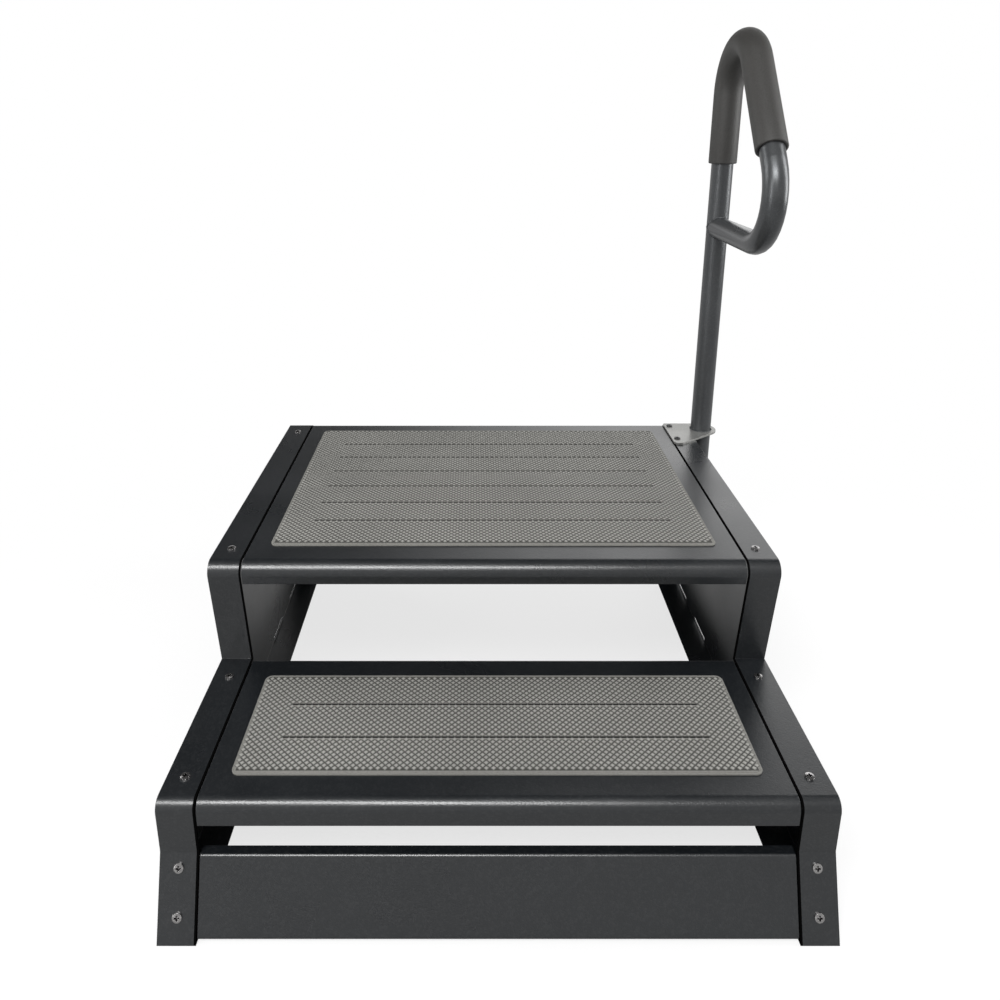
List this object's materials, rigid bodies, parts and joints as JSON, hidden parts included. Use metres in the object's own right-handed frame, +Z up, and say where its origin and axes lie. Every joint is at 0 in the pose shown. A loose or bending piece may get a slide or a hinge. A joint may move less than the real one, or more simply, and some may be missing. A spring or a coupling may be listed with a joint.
{
  "type": "camper entry step",
  "caption": "Free-standing steel camper entry step with a low and a high tread, studded rubber mats, a toe board and a bent tube handrail with a foam grip.",
  "frame": {"origin": "middle of the whole footprint on the floor: the bottom centre of the bounding box, with the handrail's bracket counted in", "axes": "+Z up, -Y towards the person who steps up, so the lower tread lies towards -Y; +X to that person's right, where the handrail stands"},
  "size_m": [0.703, 0.69, 0.8868],
  "materials": {
    "powder_coat": "satin powder coat with a fine texture",
    "tube_coat": "satin powder coat",
    "mat_rubber": "matt, studded",
    "grip_foam": "matt closed-cell foam",
    "black_nylon": "matt",
    "bright_steel": "zinc plated",
    "black_steel": "black oxide"
  },
  "bodies": {
    "root": {"side_panel_left": "powder_coat", "side_panel_right": "powder_coat", "upper_platform": "powder_coat", "lower_tread": "powder_coat", "toe_board": "powder_coat", "platform_stiffeners": "powder_coat", "tread_stiffener": "powder_coat", "upper_mat": "mat_rubber", "lower_mat": "mat_rubber", "handrail_tube": "tube_coat", "foam_grip": "grip_foam", "post_bracket": "tube_coat", "post_end_plug": "black_nylon", "post_spacers": "black_nylon", "platform_screws": "bright_steel", "platform_nuts": "bright_steel", "tread_screws": "bright_steel", "tread_nuts": "bright_steel", "toe_screws": "bright_steel", "toe_nuts": "bright_steel", "bracket_bolts": "black_steel", "bracket_nuts": "bright_steel", "post_bolts": "bright_steel", "post_nuts": "bright_steel"}
  },
  "joints": []
}
